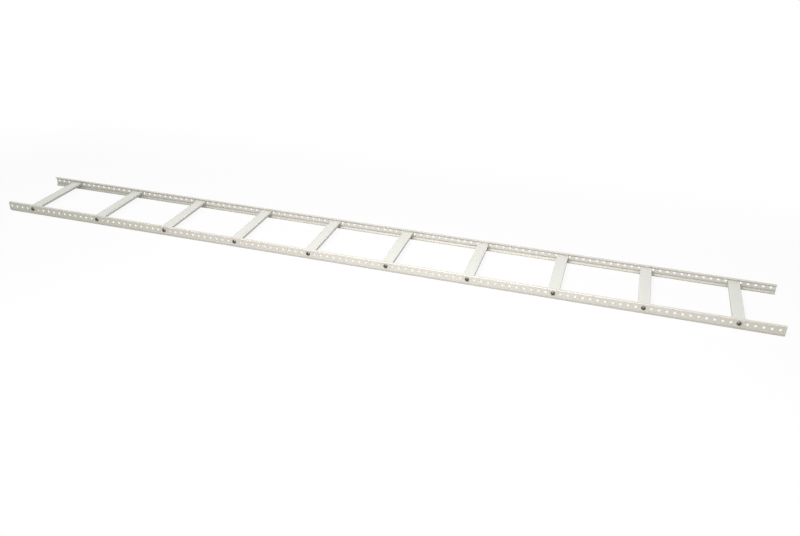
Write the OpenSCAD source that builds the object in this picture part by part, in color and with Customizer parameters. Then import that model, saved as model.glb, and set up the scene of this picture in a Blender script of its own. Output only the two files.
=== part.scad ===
// Cable ladder section: two side rails of extruded aluminium joined by flat channel rungs,
// each rung held by one button-head screw through a rail's web at either end.
// X runs along the ladder, Y across it and Z up; the ladder lies on the lips of its rails.

/* [Ladder] */
// Number of rungs
rungs = 10; // [2:1:19]
// Hole pitches from one rung to the next
pitches_per_rung = 12; // [6:1:16]
// Free holes in a rail before the first rung
holes_before = 4; // [2:1:8]
// Free holes in a rail beyond the last rung
holes_beyond = 5; // [2:1:8]
// Overall width over the two webs
ladder_w = 300; // [150:10:600]

/* [Side rail] */
// Overall height of a rail
rail_h = 38; // [36:1:60]
// Height of the line of holes
hole_z = 23; // [21:0.5:25]
// Wall thickness of a rail's section
rail_wall = 2; // [1.6:0.1:2.5]
// How far the top flange reaches inward from the web's outer face
flange_d = 9.5; // [7:0.5:14]
// How far the foot of a rail reaches inward from the web's outer face
foot_d = 7.5; // [7:0.5:12]
// Height of the slanting shoulder below the web
shoulder_h = 9; // [7:0.5:11]
// Width of the flat lip at the foot of the shoulder
lip_w = 3.5; // [2:0.5:4]
// Inside radius of the bend between web and shoulder
bend_r = 2; // [1:0.5:3]
// Outside radius of the rail's top edge
corner_r = 2; // [1:0.5:2.5]
// Pitch of the holes along the web
hole_pitch = 25; // [20:1:30]
// From a rail's left end to its first hole
margin_left = 12.5; // [10:0.5:25]
// From the last hole to a rail's right end
margin_right = 17.5; // [10:0.5:25]

/* [Rung] */
// Width of a rung along the ladder
rung_w = 40; // [36:1:50]
// Height of a rung's upper face above the line of holes
rung_top = 8; // [7.5:0.5:9.5]
// Height of a rung's side walls
rung_side = 10; // [8:0.5:13]
// Wall thickness of a rung's section
rung_wall = 1.6; // [1.4:0.1:2]
// Radius of a rung's long edges
rung_edge_r = 2; // [1:0.5:3]
// Width of the two shallow grooves in a rung's upper face
groove_w = 1.6; // [1:0.2:3]
// Depth of those grooves
groove_depth = 0.5; // [0.3:0.1:0.8]

/* [Screw] */
// Shank diameter
screw_d = 8; // [5:1:8]
// Play of the shank in its hole in the web
hole_play = 1; // [0.5:0.1:2]
// Length under the head
screw_l = 25; // [16:1:40]
// Head diameter
head_d = 16; // [12:0.5:18]
// Head height
head_h = 5; // [3:0.2:6]
// Hexagon socket, across its flats
socket_af = 5; // [3:0.5:6]
// Depth of the socket
socket_depth = 2.6; // [1:0.2:3]

/* [Hidden] */
$fn = 48;
eps = 0.01;
port_gap = 0.2; // between the shank and the bore of the screw port
port_wall = 2; // beside that bore
bend_steps = 6; // chords in a bend of the section

hole_d = screw_d + hole_play;
hole_count = holes_before + 1 + (rungs - 1) * pitches_per_rung + holes_beyond;
rail_l = margin_left + hole_pitch * (hole_count - 1) + margin_right;
slant_d = foot_d - lip_w;
tilt = atan2(slant_d, shoulder_h); // of the shoulder, away from the upright web
rung_l = ladder_w - 2 * rail_wall;
bore_d = screw_d + port_gap;
port_r = bore_d / 2 + port_wall;
groove_x = rung_w / 2 - 2 * rung_edge_r - groove_w;
head_r = head_d / 2;
dome_r = (head_r * head_r + head_h * head_h) / (2 * head_h);

// hole i and rung i along the ladder, counted from 0
function hole_x(i) = margin_left + hole_pitch * i - rail_l / 2;
function rung_x(i) = hole_x(holes_before + i * pitches_per_rung);

// node name of the rung or screw at rung i, such as rung_03
function numbered(name, i) = str(name, i < 9 ? "_0" : "_", i + 1);

// points of a bend about (y, z), from angle a to angle b
function bend(y, z, r, a, b) = [
    for (k = [0 : bend_steps])
        let (t = a + (b - a) * k / bend_steps)
        [y + r * cos(t), z + r * sin(t)]
];

// section of the front rail: y inward from the web's outer face, z up
function rail_section() =
    let (
        outer_r = bend_r + rail_wall,
        bend_z = shoulder_h + outer_r * tan(tilt / 2),
        lip_edge = slant_d + rail_wall * tan(45 - tilt / 2)
    )
    concat(
        bend(corner_r, rail_h - corner_r, corner_r, 90, 180),
        bend(outer_r, bend_z, outer_r, 180, 180 + tilt),
        [[slant_d, 0], [foot_d, 0], [foot_d, rail_wall], [lip_edge, rail_wall]],
        bend(outer_r, bend_z, bend_r, 180 + tilt, 180),
        [[rail_wall, rail_h - rail_wall], [flange_d, rail_h - rail_wall], [flange_d, rail_h]]
    );

module rail() {
    translate([0, -ladder_w / 2, 0])
        difference() {
            rotate([90, 0, 90])
                linear_extrude(rail_l, center = true)
                    polygon(rail_section());
            for (i = [0 : hole_count - 1])
                translate([hole_x(i), -eps, hole_z])
                    rotate([-90, 0, 0])
                        cylinder(d = hole_d, h = rail_wall + 2 * eps);
        }
}

module side_rail_front() {
    color([0.84, 0.84, 0.80]) rail();
}

module side_rail_back() {
    color([0.84, 0.84, 0.80]) mirror([0, 1, 0]) rail();
}

// rectangle below the origin with its two upper corners rounded
module round_topped(w, h, r) {
    translate([-w / 2, -h]) square([w, h - r]);
    translate([r - w / 2, -r]) square([w - 2 * r, r]);
    for (x = [r - w / 2, w / 2 - r])
        translate([x, -r]) circle(r);
}

// extruded section of a rung about the line of holes: a channel, open below,
// with two shallow grooves above and a screw port along its middle
module rung_section() {
    difference() {
        translate([0, rung_top]) round_topped(rung_w, rung_side, rung_edge_r);
        translate([rung_wall - rung_w / 2, rung_top - rung_side - eps])
            square([rung_w - 2 * rung_wall, rung_side - rung_wall + eps]);
        for (side = [-1, 1])
            translate([side * groove_x, rung_top])
                square([groove_w, 2 * groove_depth], center = true);
    }
    circle(port_r);
    translate([-port_r, 0]) square([2 * port_r, rung_top - rung_wall / 2]);
}

module rung(i) {
    color([0.88, 0.88, 0.85])
        translate([rung_x(i), 0, hole_z])
            rotate([90, 0, 0])
                difference() {
                    linear_extrude(rung_l, center = true) rung_section();
                    cylinder(d = bore_d, h = rung_l + 2 * eps, center = true);
                }
}

// half outline of a button head, its seat on the axis of r
module head_outline() {
    intersection() {
        translate([0, head_h - dome_r]) circle(dome_r);
        square([head_r, head_h]);
    }
}

// button-head screw: its head's seat at the origin and its shank along +Y
module screw() {
    difference() {
        rotate([90, 0, 0]) {
            rotate_extrude() head_outline();
            translate([0, 0, -screw_l])
                cylinder(d = screw_d, h = screw_l + head_h / 2);
        }
        translate([0, socket_depth - head_h, 0])
            rotate([90, 0, 0])
                cylinder(d = socket_af / cos(30), h = socket_depth + eps, $fn = 6);
    }
}

module screw_front(i) {
    color([0.42, 0.42, 0.42])
        translate([rung_x(i), -ladder_w / 2, hole_z])
            screw();
}

module screw_back(i) {
    color([0.42, 0.42, 0.42])
        translate([rung_x(i), ladder_w / 2, hole_z])
            mirror([0, 1, 0])
                screw();
}

side_rail_front();
side_rail_back();
for (i = [0 : rungs - 1]) {
    rung(i);
    screw_front(i);
    screw_back(i);
}
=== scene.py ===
import math

import bpy
from mathutils import Matrix, Vector


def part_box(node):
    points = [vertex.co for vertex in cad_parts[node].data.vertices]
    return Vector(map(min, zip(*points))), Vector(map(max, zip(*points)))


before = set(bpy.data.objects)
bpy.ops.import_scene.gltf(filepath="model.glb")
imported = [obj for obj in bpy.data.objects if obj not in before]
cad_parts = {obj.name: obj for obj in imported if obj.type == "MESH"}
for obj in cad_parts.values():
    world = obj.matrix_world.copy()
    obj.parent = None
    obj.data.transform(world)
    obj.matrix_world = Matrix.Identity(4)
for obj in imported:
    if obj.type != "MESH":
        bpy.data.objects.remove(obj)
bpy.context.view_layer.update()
print("frame loaded")

mm = 0.001
railNames = sorted(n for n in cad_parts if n.startswith("side_rail_"))
rungNames = sorted(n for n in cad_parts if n.startswith("rung_"))
screwNames = sorted(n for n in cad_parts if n.startswith("screw_"))

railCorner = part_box("side_rail_front")[1]
halfLength = railCorner.x
railHeight = railCorner.z
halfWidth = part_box("side_rail_back")[1].y
holeLine = sum(corner.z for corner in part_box("screw_front_01")) / 2
firstRung = sum(corner.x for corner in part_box(rungNames[0])) / 2
secondRung = sum(corner.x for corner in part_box(rungNames[1])) / 2
rungSpacing = secondRung - firstRung
pitchesPerRung = 12
holePitch = rungSpacing / pitchesPerRung
screwLow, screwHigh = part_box(screwNames[0])


class Wire:
    # a socket that can be used in sums: each operation adds its Math node
    def __init__(self, look, socket):
        self.look = look
        self.socket = socket

    def operate(self, operation, *values):
        return self.look.add("ShaderNodeMath", {"operation": operation}, dict(enumerate(values)))

    def __add__(self, other):
        return self.operate("ADD", self, other)

    def __radd__(self, other):
        return self.operate("ADD", other, self)

    def __sub__(self, other):
        return self.operate("SUBTRACT", self, other)

    def __rsub__(self, other):
        return self.operate("SUBTRACT", other, self)

    def __mul__(self, other):
        return self.operate("MULTIPLY", self, other)

    def __rmul__(self, other):
        return self.operate("MULTIPLY", other, self)

    def __pow__(self, other):
        return self.operate("POWER", self, other)

    def __abs__(self):
        return self.operate("ABSOLUTE", self)

    def most(self, other):
        return self.operate("MAXIMUM", self, other)

    def offRow(self, start, pitch):
        # distance to the nearest of a row of places
        return self.operate("PINGPONG", self - start, pitch / 2)

    def smooth(self, low, high):
        # 0 below low, 1 above high, eased between; the two may be given the other way round
        values = {"Value": self, "From Min": low, "From Max": high}
        return self.look.add("ShaderNodeMapRange", {"interpolation_type": "SMOOTHSTEP"}, values, "Result")


class Look:
    # the nodes of a material or of the world
    def __init__(self, owner):
        owner.use_nodes = True
        self.owner = owner
        self.tree = owner.node_tree

    def add(self, kind, settings=None, values=None, output=0):
        node = self.tree.nodes.new(kind)
        for name, value in (settings or {}).items():
            setattr(node, name, value)
        for socket, value in (values or {}).items():
            self.feed(node.inputs[socket], value)
        return Wire(self, node.outputs[output])

    def feed(self, socket, value):
        if isinstance(value, Wire):
            self.tree.links.new(value.socket, socket)
        else:
            socket.default_value = value

    def place(self):
        # in metres: every CAD piece has its origin at the ladder's own
        return self.add("ShaderNodeTexCoord", output="Object")

    def split(self, at):
        return [self.add("ShaderNodeSeparateXYZ", values={0: at}, output=axis) for axis in range(3)]

    def joined(self, x, y, z):
        return self.add("ShaderNodeCombineXYZ", values={0: x, 1: y, 2: z})

    def stretched(self, at, scales):
        return self.add("ShaderNodeVectorMath", {"operation": "MULTIPLY"}, {0: at, 1: scales})

    def along(self, at, direction):
        settings = {"operation": "DOT_PRODUCT"}
        return self.add("ShaderNodeVectorMath", settings, {0: at, 1: direction}, "Value")

    def noise(self, at, scale=1.0, detail=3.0, roughness=0.6):
        values = {"Vector": at, "Scale": scale, "Detail": detail, "Roughness": roughness}
        return self.add("ShaderNodeTexNoise", {"noise_dimensions": "3D"}, values)

    def blend(self, mask, under, over):
        settings = {"data_type": "RGBA", "clamp_factor": True}
        return self.add("ShaderNodeMix", settings, {"Factor": mask, 6: under, 7: over}, 2)

    def bump(self, height, depth, strength):
        values = {"Height": height, "Distance": depth, "Strength": strength}
        return self.add("ShaderNodeBump", values=values)

    def lookingRays(self):
        # 1 for what the camera sees, straight or by way of a shiny or clear surface
        kinds = ("Camera", "Glossy", "Transmission")
        rays = [self.add("ShaderNodeLightPath", output=f"Is {kind} Ray") for kind in kinds]
        return rays[0].most(rays[1]).most(rays[2])


def newMaterial(name, fixed):
    # fixed values go straight onto the shader's own sockets
    look = Look(bpy.data.materials.new(name))
    look.shader = look.tree.nodes["Principled BSDF"]
    for socket, value in fixed.items():
        look.shader.inputs[socket].default_value = value
    return look


def finished(look, tone, rough, bump):
    for socket, value in {"Base Color": tone, "Roughness": rough, "Normal": bump}.items():
        look.feed(look.shader.inputs[socket], value)
    return look.owner


def grey(value):
    return (value, value, value, 1.0)


def distance(off, across):
    return (off * off + across * across) ** 0.5


# rails and rungs are both extruded bars of mill-finish aluminium
millFinish = {
    "metal": 0.25,
    "patchEdge": (0.35, 0.65),
    "grainScale": 380.0,  # noise scales are per metre
    "fineFrom": 0.62,  # fine lines below this are dull
    "fineDull": 0.9,  # how far lines and clouds pull the metal towards its dull colour
    "broadDull": 0.40,
    "cloudDull": 0.20,
    "scuffEdge": (0.60, 0.72),
    "scuffBright": 0.35,
    "scuffSmooth": 0.08,
    "fineRelief": 0.25,
    "broadRelief": 0.5,
    "grainRelief": 0.10,
    "scuffRelief": 0.3,
    "reliefDepth": 0.05 * mm,
    "reliefStrength": 0.4,
}


class MillSkin:
    # patches and clouds of oxide, fine and broad lines left by the die, a grain, and scuffs from handling
    def __init__(self, look, at, s):
        self.look = look
        self.s = s
        self.patch = look.noise(at, s["patchScale"], detail=2.0, roughness=0.5).smooth(*s["patchEdge"])
        self.cloud = look.noise(at, s["cloudScale"], detail=4.0, roughness=0.55)
        self.grain = look.noise(at, s["grainScale"])
        self.fine = look.noise(look.stretched(at, s["fineLines"]), detail=2.0)
        self.broad = look.noise(look.stretched(at, s["broadLines"]))
        leaning = look.joined(*(look.along(at, direction) for direction in s["scuffLean"]))
        self.scuff = look.noise(leaning, roughness=0.7).smooth(*s["scuffEdge"])

    def dulled(self, tone):
        s = self.s
        lines = (s["fineFrom"] - self.fine) * s["fineDull"] + (1.0 - self.broad) * s["broadDull"]
        return self.look.blend(lines + (1.0 - self.cloud) * s["cloudDull"], tone, s["dull"])

    def scuffed(self, tone):
        return self.look.blend(self.scuff * self.s["scuffBright"], tone, self.s["bright"])

    def rough(self):
        # noise lies about 0.5, so it makes the metal rougher in some places and smoother in others
        s = self.s
        varied = (self.fine - 0.5) * s["fineRough"] + (self.cloud - 0.5) * s["cloudRough"]
        return s["roughness"] + varied - self.scuff * s["scuffSmooth"]

    def relief(self):
        s = self.s
        lines = self.fine * s["fineRelief"] + self.broad * s["broadRelief"]
        return lines + self.grain * s["grainRelief"] - self.scuff * s["scuffRelief"]

    def bump(self, height):
        return self.look.bump(height, self.s["reliefDepth"], self.s["reliefStrength"])


railFinish = {
    **millFinish,
    "roughness": 0.44,
    "fineRough": 0.12,
    "cloudRough": 0.16,
    "bare": (0.868, 0.808, 0.742, 1.0),
    "cool": (0.775, 0.785, 0.668, 1.0),
    "dull": (0.700, 0.670, 0.590, 1.0),
    "bright": (0.930, 0.905, 0.855, 1.0),
    "inside": (0.640, 0.625, 0.555, 1.0),
    "dirtAndShade": (0.300, 0.290, 0.250, 1.0),
    "patchScale": 1.3,
    "cloudScale": 11.0,
    "fineLines": (1.6, 900.0, 900.0),  # per metre in x, y and z: long along the rail, fine across it
    "broadLines": (0.7, 150.0, 150.0),
    # the same for scuffs, as three directions that lean a little off the rail's own
    "scuffLean": ((9.0, 0.0, 30.0), (0.0, 9.0, 0.0), (-3.0, 0.0, 260.0)),
    # the oxide is greener towards the ends of the rail: where in x it starts and is full, and how green
    "leftCool": (-0.40, -1.30),
    "rightCool": (1.15, 1.6),
    "rightShare": 0.6,
    "coolShare": 0.85,
    "patchShare": 0.2,
    # the section: depths are from the outer face of the web, heights from the lip's underside
    "flangeDepth": 9.5 * mm,
    "flangeTip": (0.5 * mm, 0.1 * mm),  # short of that depth
    "flangeSkin": 1 * mm,
    "shoulderHeight": 9 * mm,  # where the web turns inwards
    "shoulderSlope": 0.44,  # how far it goes in for each metre down
    "insideDepth": (0.6 * mm, 1.7 * mm),  # within the wall, so that each face is wholly in or out
    # painted light on the inside: the heights where it begins and is full, and how strong
    "upperHeight": (11 * mm, 24 * mm),
    "upperBright": 0.5,
    "highHeight": (30 * mm, 33 * mm),
    "highBright": 0.4,
    "lowShade": 0.28,  # how much painted shade darkens the inside below the upper part
    "lowClouds": 0.25,
    # painted shade along the creases and under the flange: where, how wide and how strong
    "crease": {"at": 10.4 * mm, "fade": 3.8 * mm, "core": 0.8 * mm, "share": 0.42},
    "nook": {"at": 29.0 * mm, "fade": 2.4 * mm, "core": 0.6 * mm, "share": 0.25},
    "lipTop": {"at": 2.2 * mm, "fade": 1.2 * mm, "core": 0.2 * mm, "share": 0.25},
    # the punched holes
    "holeRadius": 4.5 * mm,
    "boreEdge": 0.02 * mm,
    "boreDull": 0.5,
    "haloReach": 1.7,  # in hole radii
    "haloGrain": 0.5,
    "haloDull": 0.45,
    "haloRelief": 0.9,
    "rimWidth": 0.6 * mm,
    "burr": 0.25 * mm,
    "rimBright": 0.15,
    "rimClouds": 0.4,
    "rimSmooth": 0.12,
    "insideRough": 0.06,
    # dirt beside the rungs, patches darker towards the bottom, and the sawn ends
    "jointReach": (26 * mm, 19 * mm),  # off the middle of a rung
    "jointClouds": (0.40, 0.62),
    "lowHeight": 9 * mm,
    "lowDarkClouds": (0.45, 0.7),
    "dirt": 0.10,
    "sawDepth": (0.3 * mm, 0.05 * mm),
    "sawLines": (20.0, 60.0, 1500.0),
    "sawBright": 0.5,
    "sawVaried": 0.4,
    "sawRelief": 0.6,
}


def railMaterial(s):
    look = newMaterial("mill_aluminium_rail", {"Metallic": s["metal"]})
    at = look.place()
    x, y, z = look.split(at)
    skin = MillSkin(look, at, s)

    # the punch draws the sheet in a little around each hole; a ring round each hole and the bore are
    # darker and duller
    radius = distance(x.offRow(firstRung, holePitch), z - holeLine)
    rim = radius.smooth(s["holeRadius"] + s["rimWidth"], s["holeRadius"] + s["burr"])
    bore = radius.smooth(s["holeRadius"] + s["boreEdge"], s["holeRadius"] - s["boreEdge"])
    haloDepth = (1 - s["haloGrain"]) + skin.grain * s["haloGrain"]
    halo = radius.smooth(s["holeRadius"] * s["haloReach"], s["holeRadius"]) * haloDepth

    # painted shade on the inside low down; painted light on the inside above the holes, where the flange
    # casts its shadow, and on the flange's tip
    deep = halfWidth - abs(y) - (s["shoulderHeight"] - z).most(0.0) * s["shoulderSlope"]
    inside = deep.smooth(*s["insideDepth"]) * z.smooth(railHeight, railHeight - s["flangeSkin"])
    upper = z.smooth(*s["upperHeight"]) * inside
    high = z.smooth(*s["highHeight"]) * inside
    atTip = deep.smooth(*(s["flangeDepth"] - short for short in s["flangeTip"]))
    litTip = atTip * z.smooth(*s["highHeight"])

    def insideLine(line):
        # painted shade along the inside of the rail at one height
        return abs(z - line["at"]).smooth(line["fade"], line["core"]) * inside * line["share"]

    creaseShade = insideLine(s["crease"]) + insideLine(s["nook"]) * (1.0 - litTip) + insideLine(s["lipTop"])
    byRung = x.offRow(firstRung, rungSpacing).smooth(*s["jointReach"])
    joint = byRung * skin.cloud.smooth(*s["jointClouds"])
    lowDarkening = z.smooth(s["lowHeight"], 0.0) * skin.cloud.smooth(*s["lowDarkClouds"])
    sawCut = abs(x).smooth(*(halfLength - depth for depth in s["sawDepth"]))
    sawLines = look.noise(look.stretched(at, s["sawLines"]), detail=2.0, roughness=0.5)

    endward = x.smooth(*s["leftCool"]).most(x.smooth(*s["rightCool"]) * s["rightShare"])
    tone = look.blend(endward * s["coolShare"] + skin.patch * s["patchShare"], s["bare"], s["cool"])
    tone = skin.dulled(tone)
    tone = look.blend(halo * s["haloDull"] + bore * s["boreDull"], tone, s["dull"])
    # painted shade low on the inside, then painted light above it and on the flange's tip
    tone = look.blend((inside - upper) * (s["lowShade"] + skin.cloud * s["lowClouds"]), tone, s["inside"])
    tone = look.blend(upper * s["upperBright"] + high * s["highBright"] + litTip, tone, s["bright"])
    # painted shade along the creases and under the flange
    tone = look.blend(creaseShade, tone, s["dirtAndShade"])
    tone = look.blend(rim * (s["rimBright"] + skin.cloud * s["rimClouds"]), tone, s["bright"])
    tone = skin.scuffed(tone)
    # dirt beside the rungs, and darker patches towards the bottom
    tone = look.blend((joint + lowDarkening) * s["dirt"], tone, s["dirtAndShade"])
    tone = look.blend(sawCut * (s["sawBright"] + sawLines * s["sawVaried"]), tone, s["bright"])
    rough = skin.rough() - rim * s["rimSmooth"] + inside * s["insideRough"]
    height = skin.relief() + sawCut * sawLines * s["sawRelief"] - halo * s["haloRelief"]
    return finished(look, tone, rough, skin.bump(height))


rungFinish = {
    **millFinish,
    "roughness": 0.42,
    "fineRough": 0.14,
    "cloudRough": 0.14,
    "bare": (0.885, 0.875, 0.820, 1.0),
    "cool": (0.862, 0.875, 0.815, 1.0),
    "dull": (0.770, 0.765, 0.710, 1.0),
    "bright": (0.925, 0.920, 0.885, 1.0),
    "dirtAndShade": (0.380, 0.370, 0.330, 1.0),
    "patchScale": 2.6,
    "cloudScale": 16.0,
    "fineLines": (1000.0, 4.0, 1000.0),
    "broadLines": (210.0, 1.2, 210.0),
    "scuffLean": ((260.0, 9.0, 0.0), (-5.0, 14.0, 0.0), (0.0, 0.0, 14.0)),
    "railReach": (16 * mm, 3 * mm),  # from the outside of the ladder
    "railClouds": (0.38, 0.62),
    "railDirt": 0.12,
    "railRough": 0.08,
    # painted shade on the side walls: the height where it fades out
    "wallTop": (7 * mm, 5 * mm),  # above the hole line
    "wallShade": 0.55,
}


def rungMaterial(s):
    look = newMaterial("mill_aluminium_rung", {"Metallic": s["metal"]})
    at = look.place()
    y, z = look.split(at)[1:]
    skin = MillSkin(look, at, s)
    nearRail = abs(y).smooth(*(halfWidth - reach for reach in s["railReach"]))
    railDirt = nearRail * skin.cloud.smooth(*s["railClouds"])
    # painted shade on the side walls, below the top
    wall = z.smooth(*(holeLine + height for height in s["wallTop"]))

    tone = look.blend(skin.patch, s["bare"], s["cool"])
    tone = skin.dulled(tone)
    tone = skin.scuffed(tone)
    # dirt near the rails, and painted shade on the side walls
    tone = look.blend(railDirt * s["railDirt"] + wall * s["wallShade"], tone, s["dirtAndShade"])
    rough = skin.rough() + railDirt * s["railRough"]
    return finished(look, tone, rough, skin.bump(skin.relief()))


screwFinish = {
    "metal": 0.9,
    "roughness": 0.34,
    "turnedRough": 0.18,
    "cloudRough": 0.18,
    "steel": (0.105, 0.098, 0.085, 1.0),
    "worn": (0.30, 0.285, 0.255, 1.0),
    # the colour of the socket's painted shade
    "deep": (0.035, 0.032, 0.028, 1.0),
    "turnedScale": 4000.0,  # per metre of radius
    "cloudScale": 260.0,
    "cloudEdge": (0.35, 0.75),
    "cloudWorn": 0.35,
    "headRadius": (screwHigh.x - screwLow.x) / 2,
    "headEdge": (0.9 * mm, 0.1 * mm),
    "edgeWorn": 0.15,
    "headDepth": (7 * mm, 4 * mm),  # in from the outside of the rail
    "socketRadius": 2.9 * mm,
    "socketFade": 0.4 * mm,
    "socketShade": 0.7,
    "socketRim": 0.5 * mm,
    "rimWorn": 0.5,
    "relief": 0.4,
    "reliefDepth": 0.03 * mm,
    "reliefStrength": 0.6,
}


def screwMaterial(s):
    look = newMaterial("dark_steel_screw", {"Metallic": s["metal"]})
    at = look.place()
    x, y, z = look.split(at)
    radius = distance(x.offRow(firstRung, rungSpacing), z - holeLine)
    turned = look.noise(look.joined(radius * s["turnedScale"], 0.0, 0.0), detail=2.0, roughness=0.5)
    cloud = look.noise(at, s["cloudScale"], detail=4.0)

    edge = radius.smooth(*(s["headRadius"] - reach for reach in s["headEdge"]))
    socketRim = abs(radius - s["socketRadius"]).smooth(s["socketRim"], 0.0)
    inSocket = radius.smooth(s["socketRadius"], s["socketRadius"] - s["socketFade"])
    inHead = abs(y).smooth(*(halfWidth - depth for depth in s["headDepth"]))

    worn = cloud.smooth(*s["cloudEdge"]) * s["cloudWorn"] + edge * s["edgeWorn"]
    tone = look.blend(worn, s["steel"], s["worn"])
    # painted shade inside the socket
    tone = look.blend(inSocket * inHead * s["socketShade"], tone, s["deep"])
    tone = look.blend(socketRim * s["rimWorn"], tone, s["worn"])
    rough = s["roughness"] + (turned - 0.5) * s["turnedRough"] + (cloud - 0.5) * s["cloudRough"]
    bump = look.bump((turned + cloud) * s["relief"], s["reliefDepth"], s["reliefStrength"])
    return finished(look, tone, rough, bump)


def dress(names, material):
    for name in names:
        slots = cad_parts[name].data.materials
        slots.clear()
        slots.append(material)


dress(railNames, railMaterial(railFinish))
dress(rungNames, rungMaterial(rungFinish))
dress(screwNames, screwMaterial(screwFinish))
print("materials made")

studio = {
    "floorSide": 60.0,
    "floorDrop": 0.05 * mm,  # below the lips, so that the two never share a plane
    "floorColor": grey(0.50),  # what the object's own light finds below it
    "floorWhite": grey(1.0),  # what the camera and reflections find there
    "nearGlow": 0.92,  # share of that white that no shadow takes away, close to the ladder
    "glowReach": (0.25, 1.1),  # metres from the ladder over which that share grows to all of it
    "skyForDiffuse": 0.20,
}


def floorMaterial(s):
    look = newMaterial("studio_floor", {"Roughness": 1.0, "Specular IOR Level": 0.0})
    seen = look.lookingRays()
    look.feed(look.shader.inputs["Base Color"], look.blend(seen, s["floorColor"], s["floorWhite"]))
    x, y = look.split(look.place())[:2]
    off = distance((abs(x) - halfLength).most(0.0), (abs(y) - halfWidth).most(0.0))
    away = off.smooth(*s["glowReach"])
    share = s["nearGlow"] + away * (1 - s["nearGlow"])
    glow = look.add("ShaderNodeEmission", values={"Color": s["floorWhite"], "Strength": 1.0})
    lit = Wire(look, look.shader.outputs["BSDF"])
    mixed = look.add("ShaderNodeMixShader", values={0: seen * share, 1: lit, 2: glow})
    look.feed(look.tree.nodes["Material Output"].inputs["Surface"], mixed)
    return look.owner


def makeFloor(s):
    mesh = bpy.data.meshes.new("studio_floor")
    side = s["floorSide"] / 2
    corners = [(x * side, y * side, -s["floorDrop"]) for x, y in ((-1, -1), (1, -1), (1, 1), (-1, 1))]
    mesh.from_pydata(corners, [], [(0, 1, 2, 3)])
    mesh.materials.append(floorMaterial(s))
    floor = bpy.data.objects.new("studio_floor", mesh)
    bpy.context.scene.collection.objects.link(floor)


def makeSky(s):
    look = Look(bpy.data.worlds.new("studio_sky"))
    bpy.context.scene.world = look.owner
    background = look.tree.nodes["Background"]
    background.inputs["Color"].default_value = s["floorWhite"]
    seen = look.lookingRays()
    look.feed(background.inputs["Strength"], s["skyForDiffuse"] + seen * (1 - s["skyForDiffuse"]))


# a sun with a spread in degrees, and two panels with a size in metres and a power in watts
lamps = {
    "high_light": {"at": (-0.9, 0.9, 3.0), "aim": (0.0, 0.0, 0.0), "power": 0.6, "spread": 25.0},
    "top_panel": {"at": (0.15, -1.3, 1.8), "aim": (0.15, 0.0, 0.0), "power": 33.0, "size": (1.0, 0.8)},
    "front_strip": {"at": (0.5, -0.9, 0.5), "aim": (0.5, 0.0, 0.0), "power": 3.2, "size": (2.0, 0.4)},
}


def makeLamp(name, at, aim, power, size=None, spread=None):
    lamp = bpy.data.lights.new(name, "AREA" if size else "SUN")
    lamp.energy = power
    if size:
        lamp.shape = "RECTANGLE"
        lamp.size, lamp.size_y = size
    else:
        lamp.angle = math.radians(spread)
    holder = bpy.data.objects.new(name, lamp)
    holder.location = at
    holder.visible_camera = False
    holder.rotation_euler = (Vector(aim) - Vector(at)).to_track_quat("-Z", "Y").to_euler()
    bpy.context.scene.collection.objects.link(holder)


cameraView = {
    "at": (0.892, -2.598, 1.362),
    "yaw": 16.01,  # to the left of straight across the ladder
    "pitch": 27.69,  # downward
    "roll": 1.61,
    "lens": 36.16,
    "sensorWidth": 36.0,
    "clipEnd": 100.0,
}


def makeCamera(s):
    yaw, pitch, roll = (math.radians(s[turn]) for turn in ("yaw", "pitch", "roll"))
    forward = Vector((-math.sin(yaw), math.cos(yaw), 0.0))
    level = Vector((math.cos(yaw), math.sin(yaw), 0.0))
    ahead = forward * math.cos(pitch) - Vector((0.0, 0.0, math.sin(pitch)))
    upright = level.cross(ahead)
    right = level * math.cos(roll) + upright * math.sin(roll)
    up = upright * math.cos(roll) - level * math.sin(roll)
    data = bpy.data.cameras.new("view")
    data.sensor_fit = "HORIZONTAL"
    data.sensor_width = s["sensorWidth"]
    data.lens = s["lens"]
    data.clip_end = s["clipEnd"]
    camera = bpy.data.objects.new("view", data)
    turned = Matrix((right, up, -ahead)).transposed().to_4x4()
    camera.matrix_world = Matrix.Translation(Vector(s["at"])) @ turned
    bpy.context.scene.collection.objects.link(camera)
    bpy.context.scene.camera = camera


makeFloor(studio)
makeSky(studio)
for lampName, lampPlan in lamps.items():
    makeLamp(lampName, **lampPlan)
makeCamera(cameraView)
bpy.context.scene.view_settings.view_transform = "Standard"
print("studio made")
